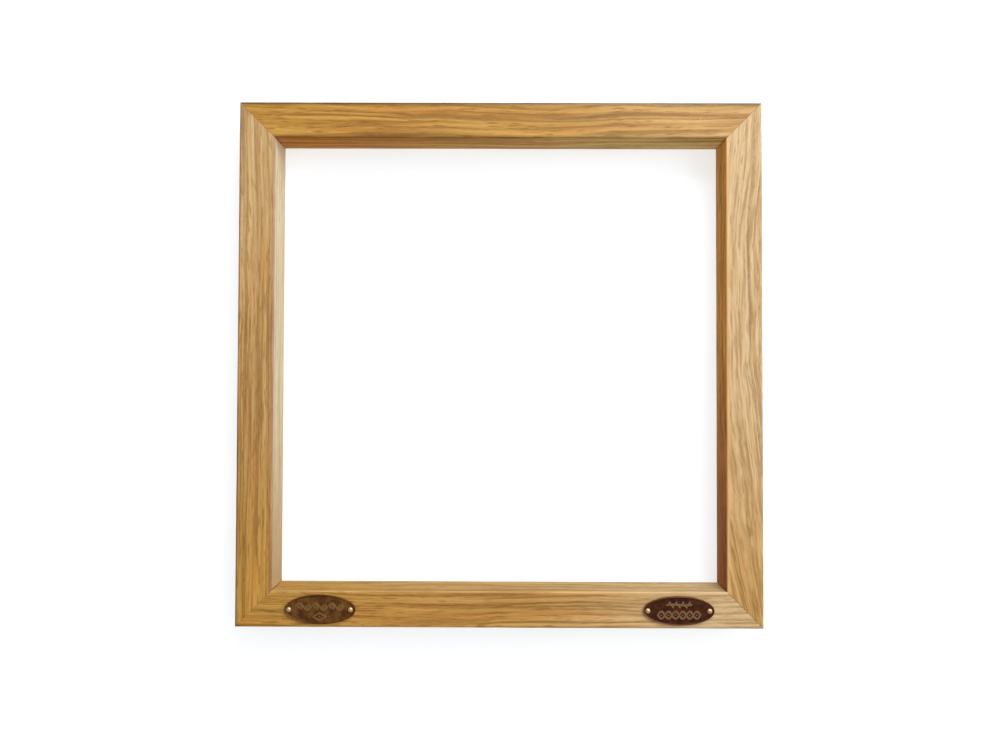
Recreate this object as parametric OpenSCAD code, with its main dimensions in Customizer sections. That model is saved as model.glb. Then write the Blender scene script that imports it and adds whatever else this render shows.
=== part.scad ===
// Square hardwood frame with mitred corners and two oval plates pinned to its bottom rail.
// It lies on its back: +Z points out of the face, +Y towards the top rail.
// The origin is the middle of the opening, on the plane of the back face.
// All sizes are in millimetres.

/* [Frame] */
// Outer size of the frame along X
frame_x = 350; // [200:1:600]
// Outer size of the frame along Y
frame_y = 350; // [200:1:600]
// Width of a rail, seen from the front
rail_w = 24; // [20:0.5:60]
// Thickness of a rail, front to back
rail_t = 22; // [19:0.5:45]
// Radius that eases the long edges on the outside of the frame
outer_ease_r = 1.2; // [0.3:0.1:3]
// Radius that eases the long edges around the opening
inner_ease_r = 0.5; // [0.2:0.1:2]
// Thickness of the glue line between two mitred ends
glue_t = 0.1; // [0.05:0.05:0.3]

/* [Corner biscuits] */
// Length of a biscuit, along the mitre
biscuit_l = 25; // [16:0.5:27]
// Width of a biscuit, across the mitre
biscuit_w = 12.5; // [8:0.5:13]
// Thickness of a biscuit
biscuit_t = 2.5; // [1.5:0.1:4]
// Gap all round a biscuit in its slot
biscuit_gap = 0.1; // [0.05:0.05:0.3]

/* [Corner nails] */
// Length of one leg of a V nail, seen from the back
nail_leg = 5; // [3:0.5:6]
// Length of the hooked end of a leg
nail_hook = 0.9; // [0.5:0.1:1.5]
// Angle that the hooked end is bent by
nail_bend = 40; // [20:5:60]
// Sheet thickness of a V nail
nail_t = 0.5; // [0.3:0.1:0.8]
// Height of a V nail, driven in from the back
nail_h = 7; // [5:0.5:8]
// Depth of a V nail below the back face
nail_set = 0.3; // [0.1:0.1:1]
// Distance from the middle of the mitre to the tip of the nail near the outer corner
nail_out = 8.5; // [6:0.5:10]
// Distance between the tips of the two nails in a corner
nail_pitch = 12; // [9:0.5:14]

/* [Plates] */
// Length of an oval plate
plate_l = 47; // [36:0.5:60]
// Height of an oval plate
plate_w = 19; // [14:0.5:19.5]
// Thickness of the plate inside its rim
plate_t = 0.9; // [0.5:0.1:2]
// Height of the rim above the plate
rim_h = 0.3; // [0.1:0.1:0.6]
// Width of the rim
rim_w = 0.8; // [0.5:0.1:1.5]
// Distance from the side of the frame to the middle of a plate
plate_inset = 56.5; // [40:0.5:80]
// Distance from the end of a plate to the middle of its pin
pin_inset = 3.1; // [2.8:0.1:5]

/* [Pins] */
// Diameter of a pin's shank
pin_d = 1.4; // [1:0.1:2]
// Length of a pin under its head, tip included
pin_l = 11; // [7:0.5:14]
// Length of the pointed tip
pin_tip = 2.2; // [1:0.1:3]
// Diameter of the domed head
head_d = 3.4; // [2.6:0.1:4]
// Height of the domed head
head_h = 1.1; // [0.6:0.1:1.4]
// Gap between a pin and the hole in its plate
plate_hole_gap = 0.1; // [0.05:0.05:0.3]

/* [Hidden] */
// Room around what is driven into the wood
drive_gap = 0.02;
// A cut runs this far past the face that it opens
over = 1;
// Angle between the mitre and a leg of a V nail
nail_spread = 45;
// Segments of an eased edge and of a plate's outline
ease_steps = 6;
oval_steps = 120;
$fn = 64;

// Middle of the mitre, from the outer corner along X and along Y
mid = rail_w / 2;
// Radius of the two arcs that bound a biscuit
biscuit_r = (pow(biscuit_l / 2, 2) + pow(biscuit_w / 2, 2)) / biscuit_w;
// Radius of the sphere that a pin's head is cut from
head_r = (pow(head_d / 2, 2) + pow(head_h, 2)) / (2 * head_h);
// Distance from the middle of a plate to each of its pins
pin_x = plate_l / 2 - pin_inset;
plate_x = frame_x / 2 - plate_inset;
plate_y = -frame_y / 2 + rail_w / 2;

// One entry per corner: name, side along X, side along Y
CORNERS = [["bottom_left", -1, -1], ["bottom_right", 1, -1],
           ["top_right", 1, 1], ["top_left", -1, 1]];

// Points of a quarter circle of radius r about c, starting at angle a0
function quarter(c, r, a0) = [for (i = [0 : ease_steps])
    let (a = a0 + 90 * i / ease_steps) [c[0] + r * cos(a), c[1] + r * sin(a)]];

// Points of an oval, l long and w high
function oval(l, w) = [for (i = [0 : oval_steps - 1])
    let (a = 360 * i / oval_steps) [l / 2 * cos(a), w / 2 * sin(a)]];

// ---- rails ----

// Section of a rail: x runs from the outer face to the inner face, y from back to front
module rail_section() {
    polygon(concat(
        quarter([rail_w - inner_ease_r, rail_t - inner_ease_r], inner_ease_r, 0),
        quarter([outer_ease_r, rail_t - outer_ease_r], outer_ease_r, 90),
        quarter([outer_ease_r, outer_ease_r], outer_ease_r, 180),
        quarter([rail_w - inner_ease_r, inner_ease_r], inner_ease_r, 270)));
}

// A rail of the given outer length along X, its outer face on y = 0, mitred at both ends
module rail_blank(length) {
    half = length / 2 - glue_t / sqrt(2);
    intersection() {
        translate([-length / 2, 0, 0]) rotate([90, 0, 90])
            linear_extrude(length) rail_section();
        translate([0, 0, -over]) linear_extrude(rail_t + 2 * over)
            polygon([[-half - over, -over], [half + over, -over],
                     [half - rail_w - over, rail_w + over],
                     [-half + rail_w + over, rail_w + over]]);
    }
}

// Everything that is cut out of the rails: biscuit slots, nail slots and pin holes
module rail_cuts() {
    for (c = CORNERS) at_corner(c) {
        biscuit_solid(biscuit_gap);
        for (x = [nail_out, nail_out - nail_pitch]) v_nail_solid(x, drive_gap, over);
    }
    for (sx = [-1, 1], sp = [-1, 1]) at_pin(sx, sp) pin_shank(drive_gap);
}

module rail_bottom() {
    color("burlywood") difference() {
        translate([0, -frame_y / 2, 0]) rail_blank(frame_x);
        rail_cuts();
    }
}

module rail_top() {
    color("burlywood") difference() {
        translate([0, frame_y / 2, 0]) rotate(180) rail_blank(frame_x);
        rail_cuts();
    }
}

module rail_left() {
    color("burlywood") difference() {
        translate([-frame_x / 2, 0, 0]) rotate(-90) rail_blank(frame_y);
        rail_cuts();
    }
}

module rail_right() {
    color("burlywood") difference() {
        translate([frame_x / 2, 0, 0]) rotate(90) rail_blank(frame_y);
        rail_cuts();
    }
}

// ---- corners ----

// Middle of a corner's mitre, with +X turned towards the outer corner
module at_corner(c) {
    translate([c[1] * (frame_x / 2 - mid), c[2] * (frame_y / 2 - mid), 0])
        rotate(atan2(c[2], c[1])) children();
}

// Lens-shaped biscuit halfway up the rail; grow widens it into its slot
module biscuit_solid(grow = 0) {
    t = biscuit_t + 2 * grow;
    centre_y = biscuit_r - biscuit_w / 2;
    translate([0, 0, (rail_t - t) / 2]) intersection() {
        translate([0, centre_y, 0]) cylinder(r = biscuit_r + grow, h = t);
        translate([0, -centre_y, 0]) cylinder(r = biscuit_r + grow, h = t);
    }
}

module biscuit(c) {
    color("tan") at_corner(c) biscuit_solid();
}

// Plan of a V nail with its tip at x = tip: two legs at right angles, each with a hooked end
module v_nail_plan(tip, grow) {
    half_t = nail_t / 2 + grow;
    for (s = [-1, 1]) translate([tip, 0]) rotate(180 - s * nail_spread) {
        translate([-half_t, -half_t]) square([nail_leg + 2 * half_t, 2 * half_t]);
        translate([nail_leg, 0]) rotate(s * nail_bend)
            translate([0, -half_t]) square([nail_hook + half_t, 2 * half_t]);
    }
}

// V nail standing in its slot; open is how far the slot runs out of the back face
module v_nail_solid(tip, grow = 0, open = 0) {
    bottom = open > 0 ? -open : nail_set;
    translate([0, 0, bottom]) linear_extrude(nail_set + nail_h + grow - bottom)
        v_nail_plan(tip, grow);
}

module v_nail_outer(c) {
    color("silver") at_corner(c) v_nail_solid(nail_out);
}

module v_nail_inner(c) {
    color("silver") at_corner(c) v_nail_solid(nail_out - nail_pitch);
}

// ---- plates and pins ----

// Middle of a plate on the front of the bottom rail; sx is -1 for the left one
module at_plate(sx) {
    translate([sx * plate_x, plate_y, rail_t]) children();
}

// Where a pin meets the front of the rail; sp is -1 for the pin on the plate's left
module at_pin(sx, sp) {
    at_plate(sx) translate([sp * pin_x, 0, 0]) children();
}

module plate(sx) {
    color("saddlebrown") difference() {
        at_plate(sx) union() {
            linear_extrude(plate_t) polygon(oval(plate_l, plate_w));
            linear_extrude(plate_t + rim_h) difference() {
                polygon(oval(plate_l, plate_w));
                polygon(oval(plate_l - 2 * rim_w, plate_w - 2 * rim_w));
            }
        }
        for (sp = [-1, 1]) at_pin(sx, sp) translate([0, 0, -over])
            cylinder(d = pin_d + 2 * plate_hole_gap, h = plate_t + 2 * over);
    }
}

// Shank of a pin with its pointed tip, from under the head down; grow widens it into its hole
module pin_shank(grow = 0) {
    r = pin_d / 2 + grow;
    straight = pin_l - pin_tip;
    translate([0, 0, plate_t - straight]) cylinder(r = r, h = straight);
    translate([0, 0, plate_t - pin_l - grow]) cylinder(r1 = grow, r2 = r, h = pin_tip + grow);
}

module pin(sx, sp) {
    color("gold") at_pin(sx, sp) {
        pin_shank();
        translate([0, 0, plate_t]) intersection() {
            translate([0, 0, head_h - head_r]) sphere(r = head_r);
            cylinder(d = head_d + over, h = head_h + over);
        }
    }
}

rail_bottom();
rail_right();
rail_top();
rail_left();
biscuit(CORNERS[0]);  // biscuit_bottom_left
biscuit(CORNERS[1]);  // biscuit_bottom_right
biscuit(CORNERS[2]);  // biscuit_top_right
biscuit(CORNERS[3]);  // biscuit_top_left
v_nail_outer(CORNERS[0]);  // v_nail_outer_bottom_left
v_nail_outer(CORNERS[1]);  // v_nail_outer_bottom_right
v_nail_outer(CORNERS[2]);  // v_nail_outer_top_right
v_nail_outer(CORNERS[3]);  // v_nail_outer_top_left
v_nail_inner(CORNERS[0]);  // v_nail_inner_bottom_left
v_nail_inner(CORNERS[1]);  // v_nail_inner_bottom_right
v_nail_inner(CORNERS[2]);  // v_nail_inner_top_right
v_nail_inner(CORNERS[3]);  // v_nail_inner_top_left
plate(-1);  // plate_left
plate(1);  // plate_right
pin(-1, -1);  // pin_left_a
pin(-1, 1);  // pin_left_b
pin(1, -1);  // pin_right_a
pin(1, 1);  // pin_right_b
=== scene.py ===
import math

import bmesh
import bpy
from mathutils import Matrix, Vector


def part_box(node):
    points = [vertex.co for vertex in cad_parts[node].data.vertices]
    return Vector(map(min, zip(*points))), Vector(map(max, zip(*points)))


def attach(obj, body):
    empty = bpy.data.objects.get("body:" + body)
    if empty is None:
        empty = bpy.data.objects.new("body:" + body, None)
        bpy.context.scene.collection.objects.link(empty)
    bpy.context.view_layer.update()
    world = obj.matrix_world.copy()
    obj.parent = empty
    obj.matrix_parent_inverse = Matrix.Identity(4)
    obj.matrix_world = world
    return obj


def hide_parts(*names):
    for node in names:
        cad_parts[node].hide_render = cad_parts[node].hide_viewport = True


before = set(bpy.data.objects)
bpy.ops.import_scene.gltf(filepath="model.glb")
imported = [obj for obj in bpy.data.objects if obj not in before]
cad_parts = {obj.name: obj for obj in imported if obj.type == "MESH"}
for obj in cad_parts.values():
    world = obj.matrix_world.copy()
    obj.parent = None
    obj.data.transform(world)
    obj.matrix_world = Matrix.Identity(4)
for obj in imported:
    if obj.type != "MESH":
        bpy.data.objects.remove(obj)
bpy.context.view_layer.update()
scene = bpy.context.scene
mm = 0.001
rightAngle = math.radians(90)
print("frame loaded:", len(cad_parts), "CAD nodes")


# Sums on sockets, for shader trees and geometry trees alike

def pick(sockets, name):
    if isinstance(name, int):
        return sockets[name]
    return next(s for s in sockets if s.name == name and s.enabled)


class Wire:
    def __init__(self, board, socket):
        self.board = board
        self.socket = socket

    def of(self, name):  # another output of the same node
        return Wire(self.board, pick(self.socket.node.outputs, name))

    def __add__(self, other):
        return self.board.sum("ADD", self, other)

    def __sub__(self, other):
        return self.board.sum("SUBTRACT", self, other)

    def __rsub__(self, other):
        return self.board.sum("SUBTRACT", other, self)

    def __mul__(self, other):
        return self.board.sum("MULTIPLY", self, other)

    def __truediv__(self, other):
        return self.board.sum("DIVIDE", self, other)

    def __rtruediv__(self, other):
        return self.board.sum("DIVIDE", other, self)

    def __pow__(self, other):
        return self.board.sum("POWER", self, other)

    __radd__ = __add__
    __rmul__ = __mul__


class Board:
    def __init__(self, tree):
        self.tree = tree
        tree.nodes.clear()

    def node(self, kind, settings=None, values=None):
        made = self.tree.nodes.new(kind)
        for name, value in (settings or {}).items():
            setattr(made, name, value)
        for name, value in (values or {}).items():
            socket = pick(made.inputs, name)
            for one in value if isinstance(value, list) else [value]:
                if isinstance(one, Wire):
                    self.tree.links.new(one.socket, socket)
                else:
                    socket.default_value = one
        shown = [s for s in made.outputs if s.enabled]
        return Wire(self, shown[0]) if shown else made

    def sum(self, operation, *terms):
        return self.node("ShaderNodeMath", {"operation": operation}, dict(enumerate(terms)))

    def step(self, value, low, high, start=0.0, end=1.0, soft=True):
        kind = "SMOOTHSTEP" if soft else "LINEAR"
        return self.node("ShaderNodeMapRange", {"interpolation_type": kind}, {
            "Value": value, "From Min": low, "From Max": high, "To Min": start, "To Max": end})

    def point(self, x=0.0, y=0.0, z=0.0):
        return self.node("ShaderNodeCombineXYZ", None, {"X": x, "Y": y, "Z": z})

    def split(self, vector):
        parts = self.node("ShaderNodeSeparateXYZ", None, {"Vector": vector})
        return parts, parts.of("Y"), parts.of("Z")

    def inMillimetres(self, turn=0.0):  # a point of the piece, turned about Z
        return self.split(self.node("ShaderNodeMapping", None, {
            "Vector": self.node("ShaderNodeTexCoord").of("Object"),
            "Rotation": (0, 0, turn), "Scale": (1000, 1000, 1000)}))

    def cloud(self, x, y, z, detail=1.0, roughness=0.5):
        return self.node("ShaderNodeTexNoise", None, {
            "Vector": self.point(x, y, z), "Scale": 1.0, "Detail": detail, "Roughness": roughness})

    def cells(self, x, y, z):
        return self.node("ShaderNodeTexVoronoi", None, {"Vector": self.point(x, y, z), "Scale": 1.0})

    def blend(self, share, first, second):
        return self.node("ShaderNodeMix", {"data_type": "RGBA"}, {
            "Factor": share, "A": first, "B": second})

    def lay(self, tone, colour, mask, begin, full, share):  # a colour over a tone, where the mask says
        return self.blend(self.step(mask, begin, full, 0.0, share), tone, colour)


def paint(red, green, blue):  # a display colour, 0 to 255, as a scene colour
    def straight(value):
        value /= 255
        return value / 12.92 if value <= 0.04045 else ((value + 0.055) / 1.055) ** 2.4
    return (straight(red), straight(green), straight(blue), 1.0)


def newFinish(name):
    material = bpy.data.materials.new(name)
    material.use_nodes = True
    board = Board(material.node_tree)
    return material, board


def closeFinish(board, steady, varied, height=None, depth=0.0):
    # steady values are set on the shader itself, varied ones are wired to it
    values = dict(steady)
    values.update(varied)
    if height is not None:
        values["Normal"] = board.node("ShaderNodeBump", None, {
            "Strength": 1.0, "Distance": depth, "Height": height})
    shader = board.node("ShaderNodeBsdfPrincipled", None, values)
    board.node("ShaderNodeOutputMaterial", None, {"Surface": shader})


# Camera, light and floor

viewpoint = {
    "aboveFace": 433.0 * mm,     # from the rails' front faces to the lens
    "sideways": (1.4 * mm, -8.6 * mm),
    "lean": (0.0173, 0.0029, 0.0030),    # turns about X, Y and Z
    "lens": 23.44,
}

studio = {
    "background": (1.0, 0.94, 0.84, 1.0),
    "backgroundPower": 0.55,
    "mirrored": (0.5, 0.34, 0.2, 1.0),    # the dim warm room that polished surfaces mirror
    "mirroredPower": 0.3,
    "backdrop": (0.922, 0.939, 0.947, 1.0),    # behind the floor, as pale as its far end
    "floorPaint": (0.62, 0.7, 0.81, 1.0),
    "floorRoughness": 0.9,
    "floorShine": 0.1,
    "floorGlow": 0.585,
    "floorSize": 12.0,
    "lamps": {
        "windowLight": {"at": (0.4, 1.2, 0.8), "size": 0.8, "power": 13.0, "tint": (1.0, 0.98, 0.95)},
        "skyLight": {"at": (1.1, 0.35, 0.75), "size": 1.0, "power": 6.5, "tint": (1.0, 0.99, 0.98)},
    },
}


def makeCamera(faceHeight):
    camera = bpy.data.objects.new("viewCamera", bpy.data.cameras.new("viewCamera"))
    scene.collection.objects.link(camera)
    x, y = viewpoint["sideways"]
    leanX, leanY, leanZ = viewpoint["lean"]
    turn = Matrix.Rotation(leanX, 4, "X") @ Matrix.Rotation(leanY, 4, "Y")
    turn = turn @ Matrix.Rotation(leanZ, 4, "Z")
    camera.matrix_world = Matrix.Translation((x, y, faceHeight + viewpoint["aboveFace"])) @ turn
    camera.data.lens = viewpoint["lens"]
    camera.data.clip_start = 1 * mm
    scene.camera = camera


def makeStudio():
    world = bpy.data.worlds.new("studioWorld")
    scene.world = world
    world.use_nodes = True
    board = Board(world.node_tree)
    sky = board.node("ShaderNodeBackground", None, {
        "Color": studio["background"], "Strength": studio["backgroundPower"]})
    room = board.node("ShaderNodeBackground", None, {
        "Color": studio["mirrored"], "Strength": studio["mirroredPower"]})
    wall = board.node("ShaderNodeBackground", None, {"Color": studio["backdrop"], "Strength": 1.0})
    seen = board.node("ShaderNodeLightPath")
    around = board.node("ShaderNodeMixShader", None, {0: seen.of("Is Glossy Ray"), 1: sky, 2: room})
    shown = board.node("ShaderNodeMixShader", None, {0: seen.of("Is Camera Ray"), 1: around, 2: wall})
    board.node("ShaderNodeOutputWorld", None, {"Surface": shown})
    for name, lamp in studio["lamps"].items():
        light = bpy.data.lights.new(name, "AREA")
        light.shape = "SQUARE"
        light.size = lamp["size"]
        light.energy = lamp["power"]
        light.color = lamp["tint"]
        holder = bpy.data.objects.new(name, light)
        holder.location = lamp["at"]
        holder.rotation_mode = "QUATERNION"
        holder.rotation_quaternion = (-Vector(lamp["at"])).to_track_quat("-Z", "Y")
        scene.collection.objects.link(holder)
    half = studio["floorSize"] / 2
    corners = [(-half, -half, 0), (half, -half, 0), (half, half, 0), (-half, half, 0)]
    mesh = bpy.data.meshes.new("studioFloor")
    mesh.from_pydata(corners, [], [(0, 1, 2, 3)])
    floor = bpy.data.objects.new("studioFloor", mesh)
    scene.collection.objects.link(floor)
    finish, board = newFinish("floorPaint")
    closeFinish(board, {
        "Base Color": studio["floorPaint"], "Roughness": studio["floorRoughness"],
        "Specular IOR Level": studio["floorShine"],
        "Emission Color": (1.0, 1.0, 1.0, 1.0), "Emission Strength": studio["floorGlow"]}, {})
    floor.visible_diffuse = False
    floor.visible_glossy = False
    mesh.materials.append(finish)
    scene.view_settings.view_transform = "Standard"


frameLow = Vector(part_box("rail_left")[0])
frameHigh = Vector(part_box("rail_right")[1])
makeCamera(frameHigh.z)
makeStudio()
print("camera, light and floor are set")


# Geometry trees

class Plan(Board):
    def __init__(self, name):
        super().__init__(bpy.data.node_groups.new(name, "GeometryNodeTree"))
        self.face = self.tree.interface
        self.face.new_socket("Geometry", in_out="OUTPUT", socket_type="NodeSocketGeometry")
        self.inlets = self.tree.nodes.new("NodeGroupInput")

    def inlet(self, name, kind="Float"):
        self.face.new_socket(name, in_out="INPUT", socket_type="NodeSocket" + kind)
        return Wire(self, pick(self.inlets.outputs, name))

    def where(self):
        return self.split(self.node("GeometryNodeInputPosition"))

    def moveTo(self, shape, x, y, z):
        return self.node("GeometryNodeSetPosition", None, {
            "Geometry": shape, "Position": self.point(x, y, z)})

    def keep(self, shape, name, value):
        return self.node("GeometryNodeStoreNamedAttribute", {"data_type": "FLOAT", "domain": "POINT"}, {
            "Geometry": shape, "Name": name, "Value": value})

    def close(self, shape):
        solid = self.node("GeometryNodeRealizeInstances", None, {"Geometry": shape})
        finish = self.inlet("Finish", "Material")
        done = self.node("GeometryNodeSetMaterial", None, {"Geometry": solid, "Material": finish})
        self.node("NodeGroupOutput", None, {"Geometry": done})
        return self.tree


def growThing(name, tree, values):
    thing = bpy.data.objects.new(name, bpy.data.meshes.new(name))
    scene.collection.objects.link(thing)
    builder = thing.modifiers.new("builder", "NODES")
    builder.node_group = tree
    for item in tree.interface.items_tree:
        if item.in_out == "INPUT":
            builder[item.identifier] = values[item.name]
    return thing


def settle(thing, sharpAbove=None):
    # what the modifiers make becomes the plain mesh of the piece
    graph = bpy.context.evaluated_depsgraph_get()
    mesh = bpy.data.meshes.new_from_object(thing.evaluated_get(graph), depsgraph=graph)
    thing.modifiers.clear()
    thing.data = mesh
    mesh.shade_smooth()
    if sharpAbove:
        mesh.set_sharp_from_angle(angle=math.radians(sharpAbove))
    return thing


def handOver(thing, slot, *stoodFor):
    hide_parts(*stoodFor)
    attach(thing, "root")


# Oak

oak = {
    # a board's body, its dark streaks and its bright streaks, in golden and in straw wood
    "golden": (paint(204, 151, 66), paint(134, 86, 22), paint(227, 179, 90)),
    "straw": (paint(222, 193, 148), paint(170, 130, 78), paint(240, 217, 178)),
    "warm": paint(206, 136, 62),        # broad orange streaks
    "olive": paint(188, 152, 70),       # broad yellow-green streaks
    "pore": paint(82, 50, 18),
    "jointLine": paint(96, 58, 22),
    "streakFall": (1.0, 1.25, 1.5),     # how fast red, green and blue fall in a dark streak
    "ring": 3.4,                        # mm of growth a year
    "uneven": 3.0,                      # years by which wide and narrow growth differ
    "unevenRun": (400.0, 9.0),
    "drift": (130.0, 60.0),             # the rings' slow wander: its length and width in mm
    "rippleWidth": 9.0,                 # mm, as all lengths and widths below
    "bandWidth": 3.6,
    "hueWidth": 3.5,
    "fadingWidth": 3.0,
    # the length and width of the patches that break up the edges' painted shade and painted highlight
    "edgeBreakup": (30.0, 3.0),
    "dash": (13.0, 0.85),               # short dark dashes
    "fibre": (14.0, 0.4),
    "hair": (6.0, 0.13),
    "pores": (4.5, 0.42),
    "vessels": (2.4, 0.24),             # the finer pores, crowded where a year's growth starts
    "rays": (7.0, 0.55),
    "bounceLight": 0.12,                     # painted bounce light: how much paler an inner face is at the back, near the floor
    "bounceLightReach": 0.8,                 # how far up it is paler, as a share of the thickness
    "innerChange": 1.5,                 # mm over which an inner face takes its painted light-and-shade tone
    "jointWidth": 0.3,
    "jointBreaks": 3.0,                 # the glue line comes and goes over this length
    "roughness": 0.42,
    "coat": 0.15,
    "coatRoughness": 0.3,
    "shine": 0.4,
    "relief": 0.06 * mm,
}

# where a mark in the wood begins to show, where it is full, and how much of it shows then;
# how much of a band shows is the board's own
marks = {
    "brightBand": (0.5, 0.36),
    "darkBand": (0.52, 0.66),
    "warm": (0.52, 0.72, 0.75),
    "olive": (0.48, 0.3, 0.7),
    "brightStreak": (0.5, 0.34, 0.65),
    "darkStreak": (0.5, 0.68, 0.65),
    "dash": (0.54, 0.7, 0.6),
    "fibre": (0.4, 0.75, 0.22),
    "darkHair": (0.45, 0.7, 0.28),
    "brightHair": (0.5, 0.3, 0.3),
}

# how much of the other marks shows
shares = {"early": 0.65, "seam": 0.3, "ray": 0.2, "vessel": 0.4, "pore": 0.55}

# edge tones: a painted shade, a painted highlight and a red painted shade for the rails' long edges
edgeShade = paint(70, 46, 12)
edgeHighlight = paint(246, 200, 140)
redEdgeShade = paint(150, 84, 30)

# pith: where the middle of the tree was, across and up from the board's outer back edge, in mm
# bow: how far the grain bends outwards at the board's two ends, in mm
# drift, ripple: the slow and the quick wander of the rings, in mm
# streak: the usual length and width of a streak, in mm; bands: how much the broad ones show
# straw: how pale the board is at its start, middle and end, partly the wood's own tone and partly painted
# sheen
# inner: the inner face's tone at both ends, painted light and shade that is pale where the face is lit
# and dark where it is in shade, how much of it shows, and how light its dark and bright streaks are;
# turns: where one tone gives way to the other, in half lengths
# outerEdge, innerEdge: the edge's tone, a painted shade or a painted highlight, how much of it shows and
# how far it reaches, in mm
# joints: how dark the glue line is at both ends
boards = {
    "rail_bottom": {
        "turn": 0, "seed": 3.7, "pith": (-70, -46), "bow": (-3.0, -3.0),
        "drift": 8.0, "ripple": 0.5, "rippleLength": 30.0,
        "streak": (110.0, 1.3), "bands": 0.3, "straw": (0.0, 0.12, 1.1),
        "inner": (paint(218, 174, 100), paint(232, 206, 158), 0.6, (0.5, 1.1)),
        "turns": (-1.0, 1.0),
        "outerEdge": (edgeShade, 0.4, 1.0), "innerEdge": (edgeHighlight, 0.35, 1.6), "joints": (0.1, 0.5)},
    "rail_right": {
        "turn": 90, "seed": 11.3, "pith": (86, -50), "bow": (19.0, 7.0),
        "drift": 12.0, "ripple": 1.3, "rippleLength": 13.0,
        "streak": (38.0, 1.1), "bands": 0.15, "straw": (0.36, 0.95, 1.0),
        "inner": (paint(150, 58, 6), paint(236, 160, 60), 0.95, (0.28, 1.45)),
        "turns": (-1.1, 0.35),
        "outerEdge": (edgeShade, 0.3, 1.0), "innerEdge": (edgeHighlight, 0.9, 2.6), "joints": (0.5, 0.25)},
    "rail_top": {
        "turn": 180, "seed": 23.9, "pith": (74, -38), "bow": (6.0, 4.0),
        "drift": 9.0, "ripple": 0.9, "rippleLength": 30.0,
        "streak": (110.0, 1.8), "bands": 0.5, "straw": (0.36, 0.04, 0.0),
        "inner": (paint(255, 214, 136), paint(220, 141, 44), 0.95, (0.42, 1.25)),
        "turns": (-1.0, 1.0),
        "outerEdge": (edgeShade, 1.0, 3.0), "innerEdge": (edgeShade, 0.7, 2.4), "joints": (0.25, 0.35)},
    "rail_left": {
        "turn": -90, "seed": 37.1, "pith": (-80, -60), "bow": (2.0, 2.0),
        "drift": 7.0, "ripple": 0.6, "rippleLength": 32.0,
        "streak": (100.0, 1.4), "bands": 0.2, "straw": (0.75, 0.42, 0.0),
        "inner": (paint(255, 243, 212), paint(214, 188, 144), 0.95, (0.68, 1.0)),
        "turns": (0.0, 0.95),
        "outerEdge": (edgeShade, 0.9, 1.7), "innerEdge": (redEdgeShade, 0.7, 2.6), "joints": (0.35, 0.1)},
}


def shaded(tone, light):  # the same wood in a streak, redder where it is darker
    parts = [part * light ** fall for part, fall in zip(tone, oak["streakFall"])]
    return (*[min(part, 1.0) for part in parts], 1.0)


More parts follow.
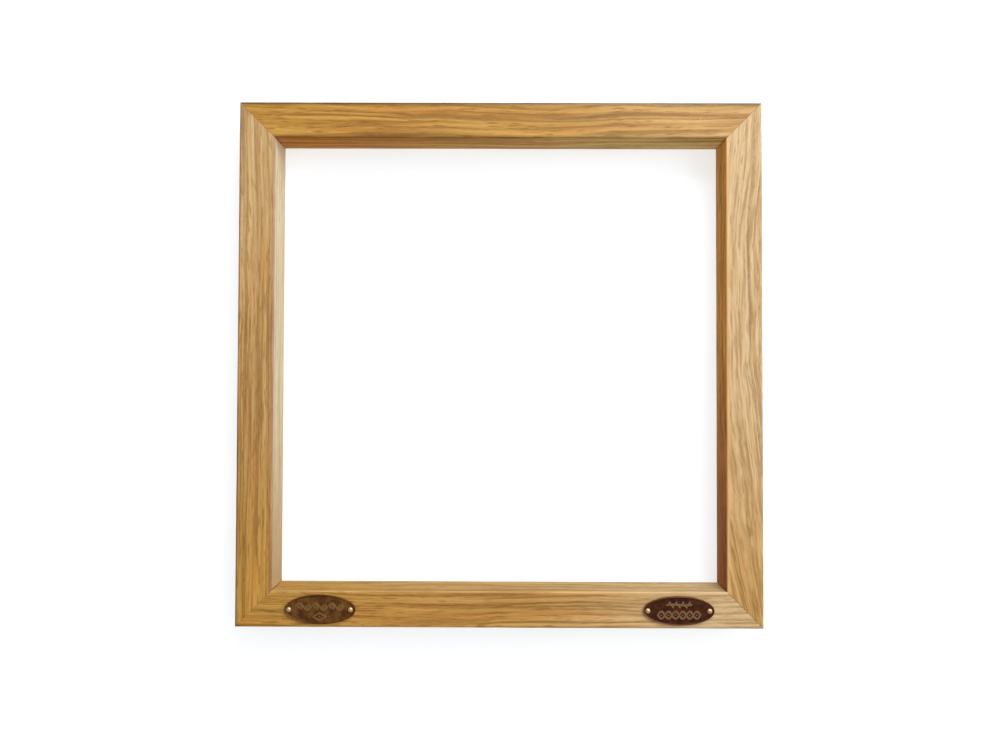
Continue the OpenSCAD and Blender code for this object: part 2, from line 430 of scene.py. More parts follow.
def makeOak(name, board, reach, side, width, thickness):
    # reach and side are half the rail's length and the distance from the middle of the
    # frame to the rail's outer face; all is worked out in millimetres of the rail itself
    finish, b = newFinish("oak_" + name)
    seed = board["seed"]
    along, out, height = b.inMillimetres(-math.radians(board["turn"]))
    depth = out + side

    length, thick = oak["drift"]
    drift = b.cloud(along / length + seed, depth / thick, height / thick, 2.0) - 0.5
    length, thick = board["rippleLength"], oak["rippleWidth"]
    ripple = b.cloud(along / length + seed, depth / thick, height / thick, 2.0) - 0.5
    bow = b.step(along, -reach / 4, reach / 4, board["bow"][0], board["bow"][1])
    bent = depth + along * along * bow / reach ** 2
    across = bent - board["pith"][0]
    below = height - board["pith"][1]
    radius = (across * across + below * below) ** 0.5 + drift * board["drift"] + ripple * board["ripple"]
    length, thick = oak["unevenRun"]
    uneven = b.cloud(radius / thick + seed, along / length, 0.0, 1.0) - 0.5
    growth = radius / oak["ring"] + uneven * oak["uneven"]
    year = b.sum("FLOOR", growth)
    part = growth - year
    strength = b.node("ShaderNodeTexWhiteNoise", {"noise_dimensions": "1D"}, {"W": year + seed})

    # dark lines that come and go, streaks of several widths and pores, all following the growth
    streakLength, streakWidth = board["streak"]
    coming = b.cloud(along / streakLength + seed, radius / oak["fadingWidth"], seed, 1.0)
    fading = b.step(coming, 0.35, 0.55, 0.3, 1.0)
    early = (1 - b.step(part, 0.0, 0.5)) * b.step(part, 0.0, 0.12) * (strength * 0.7 + 0.3) * fading
    seam = (1 - b.step(part, 0.08, 0.26)) * b.step(part, 0.0, 0.08) * b.step(strength, 0.3, 0.9) * fading
    wide = b.cloud(along / streakLength + seed, radius / oak["bandWidth"], seed, 1.0)
    hue = b.cloud(along / streakLength + seed, radius / oak["hueWidth"], seed + 5, 1.0)
    streak = b.cloud(along / streakLength + seed, radius / streakWidth, height / 40, 2.0, 0.5)
    length, thick = oak["dash"]
    dash = b.cloud(along / length + seed, radius / thick, height / 15, 1.0)
    length, thick = oak["fibre"]
    fibre = b.cloud(along / length + seed, bent / thick, height / thick, 2.0)
    length, thick = oak["hair"]
    hair = b.cloud(along / length + seed, bent / thick, height / thick, 2.0)
    length, thick = oak["pores"]
    pores = b.cells(along / length + fibre, bent / thick, height / thick)
    pore = (1 - b.step(pores, 0.1, 0.3)) * b.step(early, 0.1, 0.5, 0.15, 1.0)
    length, thick = oak["vessels"]
    vessels = b.cells(along / length, bent / thick, height / thick)
    vessel = (1 - b.step(vessels, 0.15, 0.35)) * b.step(early, 0.12, 0.45)
    length, thick = oak["rays"]
    rays = b.cells(along / length + 9.1, bent / thick, height / 9)
    ray = 1 - b.step(rays, 0.06, 0.16)

    # the tones of the face, then those of the inner face, which are painted light and shade, then the
    # streaks in them
    # paler along the board: partly the wood's own tone, partly painted sheen towards the lit side of the
    # frame
    start, middle, end = board["straw"]
    pale = b.step(along, -reach, 0.0, start, middle) + b.step(along, 0.0, reach, 0.0, end - middle)
    pale = pale + (wide - 0.5) * 0.2
    body, dark, bright = [b.blend(pale, oak["golden"][i], oak["straw"][i]) for i in range(3)]
    # the inner face's tone is painted light and shade: pale where the face is lit, dark where it is in
    # shade
    innerLightShadeStart, innerLightShadeEnd, innerShare, (innerDark, innerBright) = board["inner"]
    inner = b.step(depth, width - oak["innerChange"], width) * innerShare
    travel = b.step(along, board["turns"][0] * reach, board["turns"][1] * reach)
    body = b.blend(inner, body, b.blend(travel, innerLightShadeStart, innerLightShadeEnd))
    lit = b.blend(travel, shaded(innerLightShadeStart, innerBright), shaded(innerLightShadeEnd, innerBright))
    bright = b.blend(inner, bright, lit)
    dim = b.blend(travel, shaded(innerLightShadeStart, innerDark), shaded(innerLightShadeEnd, innerDark))
    dark = b.blend(inner, dark, dim)
    golden = (1 - pale * 0.7) * (1 - inner * 0.7)
    tone = body
    for mark in ("warm", "olive"):
        begin, full, share = marks[mark]
        tone = b.blend(b.step(hue, begin, full, 0.0, share) * golden, tone, oak[mark])
    tone = b.lay(tone, bright, wide, *marks["brightBand"], board["bands"])
    tone = b.lay(tone, dark, wide, *marks["darkBand"], board["bands"])
    tone = b.lay(tone, bright, streak, *marks["brightStreak"])
    tone = b.lay(tone, dark, streak, *marks["darkStreak"])
    tone = b.blend(early * shares["early"], tone, dark)
    tone = b.blend(seam * shares["seam"], tone, oak["pore"])
    tone = b.lay(tone, dark, dash, *marks["dash"])
    tone = b.lay(tone, dark, fibre, *marks["fibre"])
    tone = b.lay(tone, dark, hair, *marks["darkHair"])
    tone = b.lay(tone, bright, hair, *marks["brightHair"])
    tone = b.blend(ray * shares["ray"], tone, dark)
    tone = b.blend(vessel * shares["vessel"], tone, oak["pore"])
    tone = b.blend(pore * shares["pore"], tone, oak["pore"])

    # painted bounce light from the floor: the inner face is paler towards the back
    bounceLight = (1 - b.step(height, 0.0, thickness * oak["bounceLightReach"])) * inner * oak["bounceLight"]
    tone = b.blend(bounceLight, tone, oak["straw"][2])

    # the long edges: painted shade along the outer ones, painted highlight or painted shade along the
    # inner ones
    length, thick = oak["edgeBreakup"]
    edgeBreakup = b.cloud(along / length + seed, depth / thick, height / thick, 2.0)
    top = thickness - height
    for (edgeTone, share, band), inset in (
            (board["outerEdge"], depth), (board["innerEdge"], width - depth)):
        near = 1 - b.step(b.sum("MAXIMUM", inset, top), 0.0, band)
        tone = b.blend(near * b.step(edgeBreakup, 0.25, 0.6, 0.7, 1.0) * share, tone, edgeTone)

    # a thin darker line where the mitred ends meet
    ended = reach - b.sum("ABSOLUTE", along)
    joint = b.sum("ABSOLUTE", ended - depth) / math.sqrt(2)
    firm = b.step(along, -1.0, 1.0, board["joints"][0], board["joints"][1])
    breaks = oak["jointBreaks"]
    broken = b.step(b.cloud(along / breaks, depth / breaks, height / breaks), 0.3, 0.6, 0.3, 1.0)
    line = (1 - b.step(joint, 0.0, oak["jointWidth"])) * broken
    tone = b.blend(line * firm, tone, oak["jointLine"])

    sheen = oak["roughness"] + pore * 0.25 + early * 0.1 + (streak - 0.5) * 0.12 + (fibre - 0.5) * 0.1
    relief = 1 - pore - vessel * 0.6 - early * 0.2 - ray * 0.15 + fibre * 0.25 + hair * 0.15
    closeFinish(b, {"Coat Weight": oak["coat"], "Coat Roughness": oak["coatRoughness"],
                    "Specular IOR Level": oak["shine"]},
                {"Base Color": tone, "Roughness": sheen}, relief, oak["relief"])
    return finish


# Rails: a box whose points are gathered at its edges, rounded there, sheared to the mitres
# and turned into place

railShape = {
    "stations": 240,         # points along a rail
    "acrossPoints": 22,
    "outerEase": 1.2 * mm,
    "innerEase": 0.5 * mm,
    "easeChange": 0.35,      # how much hand sanding varies an edge, as a share of its radius
    "easeRun": 45.0,         # changes of an edge in a metre
    "sanding": 0.05 * mm,    # hollows and humps of the sanded faces
    "sandingRun": 60.0,      # hollows in a metre
    "glueLine": 0.02 * mm,
    "hollowFrom": 0.2 * mm,  # how far out from the rail's core a hollow has its full depth
    "slotFoot": 0.5 * mm,    # how much of a nail's foot opens its slot through the back
    "slotBelow": -1 * mm,
    "biscuitRoom": 0.1 * mm,
    "nailRoom": 0.02 * mm,
    "sharpAbove": 35,        # degrees
}


def railPlan():
    p = Plan("mitredRail")
    length, width, thickness = p.inlet("Length"), p.inlet("Width"), p.inlet("Thickness")
    outerEase, innerEase = p.inlet("Outer Ease"), p.inlet("Inner Ease")
    easeChange, sanding, glueLine = p.inlet("Ease Change"), p.inlet("Sanding"), p.inlet("Glue Line")
    seed, place, turn = p.inlet("Seed"), p.inlet("Place", "Vector"), p.inlet("Turn", "Rotation")
    box = p.node("GeometryNodeMeshCube", None, {
        "Size": p.point(length, width, thickness),
        "Vertices X": railShape["stations"], "Vertices Y": railShape["acrossPoints"],
        "Vertices Z": railShape["acrossPoints"]})
    x, y, z = p.where()
    halfWidth, halfThickness = width / 2, thickness / 2
    y = p.sum("SINE", y / halfWidth * rightAngle) * halfWidth
    z = p.sum("SINE", z / halfThickness * rightAngle) * halfThickness

    inward, upward = p.sum("SIGN", y), p.sum("SIGN", z)
    hand = p.cloud(x * railShape["easeRun"] + seed, inward * 3, upward * 5, 2.0) - 0.5
    ease = p.step(inward, -1, 1, outerEase, innerEase, soft=False) * (1 + hand * 2 * easeChange)
    coreY = p.sum("MINIMUM", p.sum("MAXIMUM", y, ease - halfWidth), halfWidth - ease)
    coreZ = p.sum("MINIMUM", p.sum("MAXIMUM", z, ease - halfThickness), halfThickness - ease)
    offY, offZ = y - coreY, z - coreZ
    span = (offY * offY + offZ * offZ) ** 0.5 + 1e-9
    reach = p.sum("MAXIMUM", p.sum("ABSOLUTE", offY), p.sum("ABSOLUTE", offZ)) / span
    run, full = railShape["sandingRun"], railShape["hollowFrom"]
    hollowY = p.cloud(x * run + seed, y * run, z * run + 7, 1.0)
    hollowZ = p.cloud(x * run + seed, y * run, z * run + 31, 1.0)
    y = coreY + offY * reach - inward * hollowY * sanding * p.step(offY * inward, 0.0, full)
    z = coreZ + offZ * reach - upward * hollowZ * sanding * p.step(offZ * upward, 0.0, full)

    half = length / 2
    x = x / half * (half - glueLine / math.sqrt(2) - (y + halfWidth))
    shaped = p.moveTo(box, x, y, z)
    placed = p.node("GeometryNodeTransform", None, {
        "Geometry": p.node("GeometryNodeTransform", None, {"Geometry": shaped, "Translation": place}),
        "Rotation": turn})
    return p.close(placed)


def slotFor(node, grow, openBelow=None):
    # a CAD piece's own shape, a little larger, and open at the back of the rail where asked
    work = bmesh.new()
    work.from_mesh(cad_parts[node].data)
    bmesh.ops.remove_doubles(work, verts=work.verts, dist=0.001 * mm)
    work.normal_update()
    foot = min(vert.co.z for vert in work.verts) + railShape["slotFoot"]
    for vert in work.verts:
        vert.co += vert.normal * grow
        if openBelow is not None and vert.co.z < foot:
            vert.co.z = openBelow
    return work


def cutAway(thing, shapes, sharpAbove):
    # takes all the shapes out of a piece at once
    whole = bmesh.new()
    for shape in shapes:
        mesh = bpy.data.meshes.new("shape")
        shape.to_mesh(mesh)
        whole.from_mesh(mesh)
        shape.free()
    cutter = bpy.data.objects.new("cutter", bpy.data.meshes.new("cutter"))
    whole.to_mesh(cutter.data)
    whole.free()
    scene.collection.objects.link(cutter)
    cutter.hide_render = True
    cut = thing.modifiers.new("cut", "BOOLEAN")
    cut.operation = "DIFFERENCE"
    cut.solver = "MANIFOLD"
    cut.object = cutter
    settle(thing, sharpAbove)
    bpy.data.objects.remove(cutter)


def makeRail(name, board, plan, pinHoles):
    low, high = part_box(name)
    size = high - low
    flat = board["turn"] % 180 == 0
    length, width = (size.x, size.y) if flat else (size.y, size.x)
    side = {0: -low.y, 90: high.x, 180: high.y, -90: -low.x}[board["turn"]]
    fullLength = frameHigh.x - frameLow.x if flat else frameHigh.y - frameLow.y
    finish = makeOak(name, board, fullLength / 2 / mm, side / mm, width / mm, size.z / mm)
    rail = growThing("oak_" + name, plan, {
        "Length": fullLength, "Width": width, "Thickness": size.z,
        "Outer Ease": railShape["outerEase"], "Inner Ease": railShape["innerEase"],
        "Ease Change": railShape["easeChange"], "Sanding": railShape["sanding"],
        "Glue Line": railShape["glueLine"], "Seed": board["seed"],
        "Place": (0, width / 2 - side, size.z / 2), "Turn": (0, 0, math.radians(board["turn"])),
        "Finish": finish})
    corners = ("bottom_left", "bottom_right", "top_right", "top_left")
    ends = [corner for corner in corners if name.removeprefix("rail_") in corner]
    slots = [slotFor("biscuit_" + end, railShape["biscuitRoom"]) for end in ends]
    slots += [slotFor(f"v_nail_{kind}_{end}", railShape["nailRoom"], railShape["slotBelow"])
              for end in ends for kind in ("outer", "inner")]
    cutAway(rail, slots + pinHoles, railShape["sharpAbove"])
    handOver(rail, "oak", name)
    return rail


# Brass pins: a straight line, given its width all the way up by a pin's own outline

pinShape = {
    "shank": 1.4 * mm,
    "tip": 2.2 * mm,
    "head": 3.4 * mm,
    "dome": 1.1 * mm,
    "hammered": 0.035 * mm,  # the depth of the hammer marks
    "hammerMarks": 1100.0,   # in a metre
    "hammerFrom": 0.15 * mm,    # where the marks start, up from the plate
    "hammerFull": 0.5 * mm,     # and where they have their full depth
    "rings": 56,
    "sides": 40,
    "tipEnd": 0.1,           # shares of the outline, from the tip to the crown
    "shankEnd": 0.24,
    "headStart": 0.3,
    "point": 0.06,           # the tip's width, as a share of the shank's
    "room": 0.02 * mm,       # the hole in the wood is this much wider all round
    "sharpAbove": 40,
    "seedStep": 5.3,         # each pin is struck in its own way
}

brass = {
    "bright": paint(255, 230, 190), "worn": paint(236, 186, 130), "footDark": paint(70, 40, 18),
    "metal": 0.65, "roughness": 0.33, "relief": 0.012 * mm,
    "dullSpots": 1400.0, "scratches": (9000.0, 2500.0, 9000.0),    # in a metre
}


def makeBrass():
    finish, b = newFinish("polishedBrass")
    x, y, z = b.split(b.node("ShaderNodeTexCoord").of("Object"))
    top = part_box("pin_left_a")[1].z
    skirt = b.step(z, top - pinShape["dome"], top - pinShape["dome"] * 0.7)
    spots = brass["dullSpots"]
    dull = b.cloud(x * spots, y * spots, z * spots, 3.0)
    tone = b.blend(b.step(dull, 0.35, 0.65, 0.0, 0.8), brass["bright"], brass["worn"])
    # darker and rougher at the foot of the head, next to the plate
    tone = b.blend((1 - skirt) * b.step(dull, 0.2, 0.6, 0.6, 0.3), tone, brass["footDark"])
    overX, overY, overZ = brass["scratches"]
    scratch = b.cloud(x * overX, y * overY, z * overZ, 2.0)
    rough = brass["roughness"] + dull * 0.16 + (1 - skirt) * 0.2
    closeFinish(b, {"Metallic": brass["metal"]}, {"Base Color": tone, "Roughness": rough},
                scratch + dull, brass["relief"])
    return finish


def pinPlan():
    p = Plan("domedPin")
    tipHeight, seat = p.inlet("Tip Height"), p.inlet("Seat Height")
    shank, tip, head = p.inlet("Shank Radius"), p.inlet("Tip Length"), p.inlet("Head Radius")
    dome, hammered, seed = p.inlet("Dome Height"), p.inlet("Hammered"), p.inlet("Seed")
    place = p.inlet("Place", "Vector")
    line = p.node("GeometryNodeCurvePrimitiveLine", None, {"Start": (0, 0, 0), "End": (0, 0, 1)})
    rings = p.node("GeometryNodeResampleCurve", None, {"Curve": line, "Count": pinShape["rings"]})
    t = p.node("GeometryNodeInputIndex") / (pinShape["rings"] - 1)    # from the tip to the crown
    tipEnd, shankEnd, headStart = pinShape["tipEnd"], pinShape["shankEnd"], pinShape["headStart"]
    tipShare = p.step(t, 0.0, tipEnd, soft=False)
    shankShare = p.step(t, tipEnd, shankEnd, soft=False)
    underShare = p.step(t, shankEnd, headStart, soft=False)
    domeShare = p.step(t, headStart, 1.0, soft=False)

    # the dome is a cap of a ball
    ball = (head * head + dome * dome) / (dome * 2)
    opening = p.sum("ARCSINE", head / ball)
    slant = opening * (1 - domeShare)
    z = tipHeight + tip * tipShare + (seat - tipHeight - tip) * shankShare
    z = z + (p.sum("COSINE", slant) - p.sum("COSINE", opening)) * ball
    width = shank * (tipShare * (1 - pinShape["point"]) + pinShape["point"]) + (head - shank) * underShare
    width = width + p.sum("SINE", slant) * ball - head
    shaped = p.moveTo(rings, 0.0, 0.0, z)
    skin = p.node("GeometryNodeCurveToMesh", None, {
        "Curve": shaped, "Scale": p.sum("MAXIMUM", width, 0.0), "Fill Caps": True,
        "Profile Curve": p.node("GeometryNodeCurvePrimitiveCircle", None, {
            "Resolution": pinShape["sides"], "Radius": 1.0})})
    skin = p.node("GeometryNodeMergeByDistance", None, {"Geometry": skin, "Distance": 0.004 * mm})
    x, y, z = p.where()
    onHead = p.step(z, seat + pinShape["hammerFrom"], seat + pinShape["hammerFull"])
    dent = p.cloud(x * pinShape["hammerMarks"] + seed, y * pinShape["hammerMarks"], 0.0, 0.0)
    struck = p.moveTo(skin, x, y, z - dent * hammered * onHead)
    return p.close(p.node("GeometryNodeTransform", None, {"Geometry": struck, "Translation": place}))


def makePin(name, plan, finish, seed):
    low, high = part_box(name)
    middle = (low + high) / 2
    seat = high.z - pinShape["dome"]
    pin = growThing("brass_" + name, plan, {
        "Tip Height": low.z, "Seat Height": seat, "Tip Length": pinShape["tip"],
        "Shank Radius": pinShape["shank"] / 2, "Head Radius": pinShape["head"] / 2,
        "Dome Height": pinShape["dome"], "Hammered": pinShape["hammered"], "Seed": seed,
        "Place": (middle.x, middle.y, 0), "Finish": finish})
    settle(pin, pinShape["sharpAbove"])
    handOver(pin, "pin_brass", name)


def pinHole(name, radius):
    low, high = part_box(name)
    hole = bmesh.new()
    bmesh.ops.create_cone(
        hole, cap_ends=True, segments=pinShape["sides"], radius1=radius, radius2=radius,
        depth=high.z - low.z, matrix=Matrix.Translation((low + high) / 2))
    return hole


# Plates: a fine sheet drawn out to an oval, raised at its rim and along its ornament

plateShape = {
    "columns": 320,
    "rows": 136,
    "thickness": 0.9 * mm,
    "rimHeight": 0.3 * mm,
    "rimWidth": 0.85 * mm,
    "edgeRound": 0.35 * mm,
    "crown": 0.1 * mm,
    "relief": 0.3 * mm,
    "strokeEdge": (1.35, 0.4),    # where a stroke starts to rise and where it is full, in strokes
    "beadEdge": (1.2, 0.2),
    "rimEdge": (0.55, 1.3),
    "holeGap": 0.1 * mm,
    "sharpAbove": 50,
    "metal": 0.4,                 # patina lets the bronze shine only in part
    "roughness": 0.48,
    "blotch": 5.0,                # mm
    "specks": 2.2,                # in a millimetre
    "pitting": 0.03 * mm,
}

# how much painted highlight the rim has all round, then the side where that painted highlight is
# strongest, as an angle in degrees, and how much shows there
plates = {
    # both plates are one bronze: the left plate's paler field and deep tones and the right plate's darker
    # ones are painted reflection
    "plate_left": {
        "stroke": 0.62 * mm, "bead": 0.85 * mm, "rimHighlight": 0.12, "highlightSide": (190, 0.6),
        "field": paint(140, 94, 42), "deep": paint(96, 56, 20), "rubbed": paint(178, 140, 88),
    },
    "plate_right": {
        "stroke": 0.85 * mm, "bead": 0.95 * mm, "rimHighlight": 0.3, "highlightSide": (215, 0.75),
        "field": paint(98, 48, 22), "deep": paint(60, 24, 10), "rubbed": paint(178, 142, 106),
    },
}

vine = {
    "start": -16 * mm, "length": 32 * mm, "middle": 1.9 * mm, "swing": 2.4 * mm, "waves": 3,
    "curlDrop": 0.1 * mm, "curlTurns": 1.15, "curlInside": 0.25 * mm, "curlOutside": 1.85 * mm,
    "lozengeMiddle": -4.7 * mm, "lozengeSize": (4.3 * mm, 2.5 * mm, 1), "beads": 3, "beadGap": 6.4 * mm,
}

twist = {"start": -14 * mm, "length": 28 * mm, "middle": -2.7 * mm, "swing": 2.3 * mm, "waves": 3}

twig = {
    "start": -8 * mm, "length": 16 * mm, "middle": 4.0 * mm, "swing": 0.3 * mm, "waves": 1,
    "leaves": 7, "firstLeaf": -7.2 * mm, "leafGap": 2.2 * mm, "leafTilt": 0.95,
    "leafPoints": 6, "leafStep": 0.4 * mm,
}


def row(p, count, start, gap, middle=0.0):
    return p.node("GeometryNodeMeshLine", {"mode": "OFFSET"}, {
        "Count": count, "Start Location": (start, middle, 0), "Offset": (gap, 0, 0)})


def wave(p, line, phase=0.0):
    # a row of points that rises and falls
    count = 180
    points = row(p, count, line["start"], line["length"] / (count - 1))
    x = p.where()[0]
    turn = (x - line["start"]) * (2 * math.pi * line["waves"] / line["length"]) + phase
    return p.moveTo(points, x, p.sum("SINE", turn) * line["swing"] + line["middle"], 0.0)


def join(p, *shapes):
    return p.node("GeometryNodeJoinGeometry", None, {"Geometry": list(shapes)})


def alternate(p, points, shape, tilt, flip=True):
    # the shape on each point, every second one turned over
    odd = p.sum("MODULO", p.node("GeometryNodeInputIndex"), 2.0)
    side = 1 - odd * 2
    placed = p.node("GeometryNodeInstanceOnPoints", None, {
        "Points": points, "Instance": shape, "Rotation": p.point(0.0, 0.0, side * tilt),
        "Scale": p.point(1.0, side if flip else 1.0, 1.0)})
    return p.node("GeometryNodeRealizeInstances", None, {"Geometry": placed})


def vineOrnament(p):
    # a winding vine with a curl in each bend, over a lozenge between two beads
    bend = vine["length"] / vine["waves"] / 2
    stem = wave(p, vine)
    spiral = p.node("GeometryNodeCurveSpiral", None, {
        "Resolution": 24, "Rotations": vine["curlTurns"], "Start Radius": vine["curlInside"],
        "End Radius": vine["curlOutside"], "Height": 0.0})
    curl = p.node("GeometryNodeCurveToMesh", None, {"Curve": spiral})
    bends = row(p, 2 * vine["waves"], vine["start"] + bend / 2, bend, vine["middle"] - vine["curlDrop"])
    curls = alternate(p, bends, curl, 0.0)
    square = p.node("GeometryNodeCurvePrimitiveCircle", None, {"Resolution": 4, "Radius": 1.0})
    lozenge = p.node("GeometryNodeTransform", None, {
        "Geometry": p.node("GeometryNodeCurveToMesh", None, {"Curve": square}),
        "Translation": (0, vine["lozengeMiddle"], 0), "Scale": vine["lozengeSize"]})
    beads = row(p, vine["beads"], -vine["beadGap"], vine["beadGap"], vine["lozengeMiddle"])
    return join(p, stem, curls, lozenge), beads


def twistOrnament(p):
    # a leafy twig over a two-strand twist with a bead in each eye
    eye = twist["length"] / twist["waves"] / 2
    strands = [wave(p, twist, turn) for turn in (0.0, math.pi)]
    stem = wave(p, twig)
    leaf = row(p, twig["leafPoints"], 0, twig["leafStep"])
    sprouts = row(p, twig["leaves"], twig["firstLeaf"], twig["leafGap"], twig["middle"])
    leaves = alternate(p, sprouts, leaf, twig["leafTilt"], flip=False)
    beads = row(p, 2 * twist["waves"], twist["start"] + eye / 2, eye, twist["middle"])
    return join(p, *strands, stem, leaves), beads


def platePlan(name, drawOrnament):
    p = Plan(name)
    length, height, thickness = p.inlet("Length"), p.inlet("Height"), p.inlet("Thickness")
    rimHeight, rimWidth, edgeRound = p.inlet("Rim Height"), p.inlet("Rim Width"), p.inlet("Edge Round")
    crown, relief = p.inlet("Crown"), p.inlet("Relief")
    stroke, bead, place = p.inlet("Stroke"), p.inlet("Bead"), p.inlet("Place", "Vector")
    sheet = p.node("GeometryNodeMeshGrid", None, {
        "Size X": 2.0, "Size Y": 2.0,
        "Vertices X": plateShape["columns"], "Vertices Y": plateShape["rows"]})
    u, v = p.where()[:2]
    ovalX = u * (1 - v * v / 2) ** 0.5
    ovalY = v * (1 - u * u / 2) ** 0.5
    x, y = ovalX * length / 2, ovalY * height / 2
    out = (ovalX * ovalX + ovalY * ovalY) ** 0.5
    slope = ((ovalX * 2 / length) ** 2.0 + (ovalY * 2 / height) ** 2.0) ** 0.5
    inset = (1 - out) * (out + 0.001) / (slope + 0.02)

    strokes, beads = drawOrnament(p)
    near = p.node("GeometryNodeProximity", {"target_element": "EDGES"}, {
        "Geometry": strokes, "Sample Position": p.point(x, y, 0.0)}).of("Distance")
    nearBead = p.node("GeometryNodeProximity", {"target_element": "POINTS"}, {
        "Geometry": beads, "Sample Position": p.point(x, y, 0.0)}).of("Distance")
    line = p.step(near / stroke, *plateShape["strokeEdge"])
    dot = p.step(nearBead / bead, *plateShape["beadEdge"])
    ornament = p.sum("MAXIMUM", line, dot)
    rim = 1 - p.step(inset / rimWidth, *plateShape["rimEdge"])
    rounding = p.step(inset / edgeRound, 0.0, 1.0, soft=False)
    drop = 1 - p.sum("MAXIMUM", 1 - (1 - rounding) * (1 - rounding), 0.0) ** 0.5
    z = thickness + crown * (1 - out * out) + rimHeight * rim + relief * ornament - edgeRound * drop
    kept = p.keep(p.keep(sheet, "ornament", ornament), "rim", rim)
    shaped = p.moveTo(kept, x, y, z)
    return p.close(p.node("GeometryNodeTransform", None, {"Geometry": shaped, "Translation": place}))


def closeBelow(thing, height):
    # drops the sheet's edge to the rail and closes the back
    work = bmesh.new()
    work.from_mesh(thing.data)
    edge = [e for e in work.edges if e.is_boundary]
    dropped = bmesh.ops.extrude_edge_only(work, edges=edge)["geom"]
    for vert in [g for g in dropped if isinstance(g, bmesh.types.BMVert)]:
        vert.co.z = height
    bmesh.ops.contextual_create(work, geom=[g for g in dropped if isinstance(g, bmesh.types.BMEdge)])
    bmesh.ops.recalc_face_normals(work, faces=work.faces)
    work.to_mesh(thing.data)
    work.free()


def makeBronze(name, look, middle, reachX, reachY):
    finish, b = newFinish("bronze_" + name)
    x, y, z = b.inMillimetres()
    ornament = b.node("ShaderNodeAttribute", {"attribute_name": "ornament"}).of("Fac")
    rim = b.node("ShaderNodeAttribute", {"attribute_name": "rim"}).of("Fac")
    wide, specks = plateShape["blotch"], plateShape["specks"]
    blotch = b.cloud(x / wide + 3, y / wide, z / wide, 3.0)
    speck = b.cloud(x * specks, y * specks, z * specks, 3.0, 0.6)
    worn = b.step(blotch + speck, 0.75, 1.1, 0.55, 1.0)
    rubbed = b.step(ornament, 0.45, 1.0) * worn
    hollow = b.step(ornament, 0.0, 0.3) * (1 - b.step(ornament, 0.3, 0.7))
    tone = b.blend(b.step(blotch, 0.3, 0.7), look["field"], look["deep"])
    tone = b.blend(hollow * 0.6, tone, look["deep"])
    tone = b.blend(rim * 0.7, tone, look["deep"])
    tone = b.blend(rubbed * 0.85, tone, look["rubbed"])
    # painted highlight on the rim: the rubbed tone laid over the rim, strongest on one side of the plate
    angle, share = look["highlightSide"]
    side = math.radians(angle)
    overX = (x - middle.x / mm) / (reachX / mm)
    overY = (y - middle.y / mm) / (reachY / mm)
    highlightShare = b.step(overX * math.cos(side) + overY * math.sin(side), 0.35, 0.95, look["rimHighlight"], share)
    tone = b.blend(b.step(rim, 0.5, 1.0) * worn * highlightShare, tone, look["rubbed"])
    metal = plateShape["metal"] + rim * (0.4 - highlightShare * 0.5) + rubbed * 0.2    # the rim is duller where its painted highlight is
    rough = plateShape["roughness"] - rubbed * 0.1 - rim * 0.14 + (speck - 0.5) * 0.2
    closeFinish(b, {}, {"Base Color": tone, "Metallic": metal, "Roughness": rough},
                speck, plateShape["pitting"])
    return finish


def makePlate(name, look, drawOrnament, pins):
    low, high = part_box(name)
    middle = (low + high) / 2
    finish = makeBronze(name, look, middle, (high.x - low.x) / 2, (high.y - low.y) / 2)
    plate = growThing("bronze_" + name, platePlan("oval_" + name, drawOrnament), {
        "Length": high.x - low.x, "Height": high.y - low.y, "Thickness": plateShape["thickness"],
        "Rim Height": plateShape["rimHeight"], "Rim Width": plateShape["rimWidth"],
        "Edge Round": plateShape["edgeRound"], "Crown": plateShape["crown"],
        "Relief": plateShape["relief"], "Stroke": look["stroke"], "Bead": look["bead"],
        "Place": (middle.x, middle.y, low.z), "Finish": finish})
    settle(plate)
    closeBelow(plate, low.z)
    holeRadius = pinShape["shank"] / 2 + plateShape["holeGap"]
    cutAway(plate, [pinHole(pin, holeRadius) for pin in pins], plateShape["sharpAbove"])
    handOver(plate, "plate_bronze", name)
    return plate


# Hidden joinery, kept as the CAD has it

beech = {
    "body": paint(216, 178, 138), "pressed": paint(190, 148, 106), "fleck": paint(140, 94, 60),
    "roughness": 0.62, "relief": 0.08 * mm,
    "grainLength": 14.0, "grainWidth": 1.1, "fleckSize": (3.0, 0.5, 0.8),    # mm
}

steel = {
    "bright": paint(176, 178, 180), "rolled": paint(112, 114, 118), "rust": paint(124, 72, 42),
    "roughness": 0.32, "relief": 0.015 * mm,
}


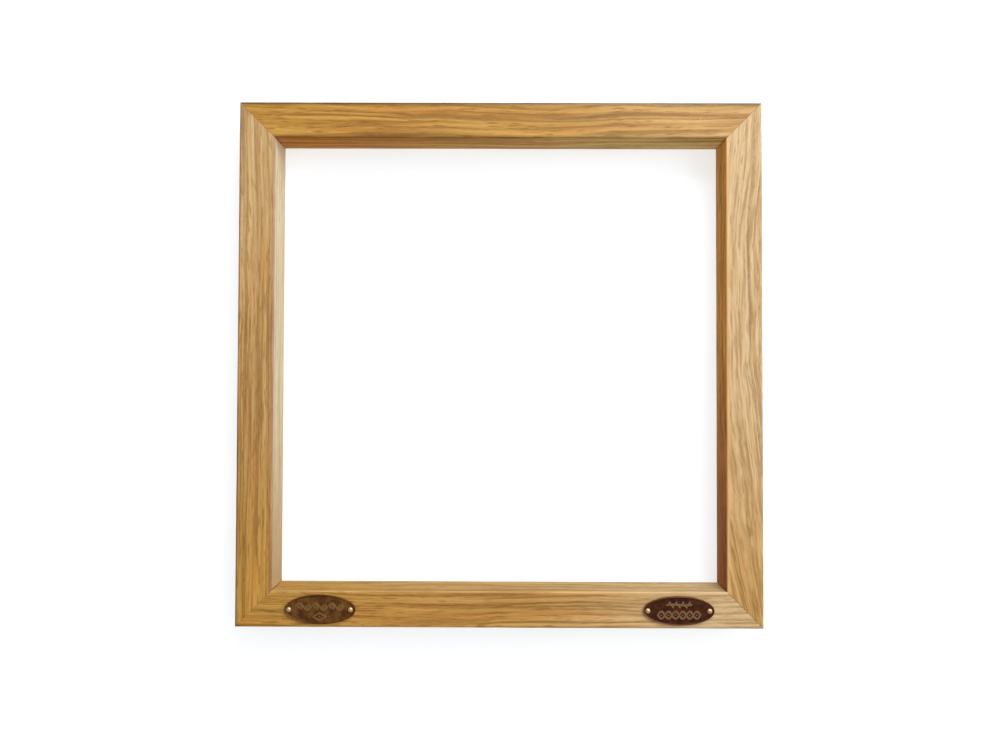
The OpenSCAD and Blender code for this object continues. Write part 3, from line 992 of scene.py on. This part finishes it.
def makeBeech():
    finish, b = newFinish("pressedBeech")
    x, y, z = b.inMillimetres()
    slant, cross = x + y, x - y
    thick = beech["grainWidth"]
    grain = b.cloud(slant / beech["grainLength"], cross / thick, z / thick, 3.0)
    long, broad, deep = beech["fleckSize"]
    flecks = b.cells(slant / long, cross / broad, z / deep)
    fleck = 1 - b.step(flecks, 0.12, 0.24)
    pressed = b.cloud(x * 1.5, y * 1.5, z * 0.5, 2.0)
    tone = b.blend(b.step(grain, 0.3, 0.7), beech["body"], beech["pressed"])
    tone = b.blend(fleck * 0.7, tone, beech["fleck"])
    closeFinish(b, {}, {"Base Color": tone, "Roughness": beech["roughness"] + pressed * 0.2},
                pressed - fleck * 0.5, beech["relief"])
    return finish


def makeStripSteel():
    finish, b = newFinish("stripSteel")
    x, y, z = b.inMillimetres()
    rolled = b.cloud(x * 0.6, y * 0.6, z * 9, 3.0)
    patch = b.cloud(x * 0.8, y * 0.8, z * 0.8, 3.0)
    rust = b.step(patch, 0.6, 0.72)
    tone = b.blend(b.step(rolled, 0.3, 0.7), steel["bright"], steel["rolled"])
    tone = b.blend(rust * 0.7, tone, steel["rust"])
    rough = steel["roughness"] + rolled * 0.16 + rust * 0.3
    closeFinish(b, {}, {"Base Color": tone, "Metallic": 1 - rust * 0.7, "Roughness": rough},
                rolled + patch, steel["relief"])
    return finish


def refinish(start, finish):
    found = [thing for name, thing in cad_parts.items() if name.startswith(start)]
    for thing in found:
        for slot in thing.material_slots:
            slot.material = finish
    print(len(found), "pieces finished in", finish.name)


pinNames = {"plate_left": ["pin_left_a", "pin_left_b"], "plate_right": ["pin_right_a", "pin_right_b"]}

plan = railPlan()
drivenRadius = pinShape["shank"] / 2 + pinShape["room"]
for name, board in boards.items():
    holes = []
    if name == "rail_bottom":
        holes = [pinHole(pin, drivenRadius) for pair in pinNames.values() for pin in pair]
    rail = makeRail(name, board, plan, holes)
    print(name, "is in place,", len(rail.data.polygons), "faces")

brassFinish = makeBrass()
plan = pinPlan()
for count, name in enumerate(pinNames["plate_left"] + pinNames["plate_right"]):
    makePin(name, plan, brassFinish, count * pinShape["seedStep"])
print("the pins are in place")

for name, drawOrnament in (("plate_left", vineOrnament), ("plate_right", twistOrnament)):
    plate = makePlate(name, plates[name], drawOrnament, pinNames[name])
    print(name, "is in place,", len(plate.data.polygons), "faces")

refinish("biscuit", makeBeech())
refinish("v_nail", makeStripSteel())
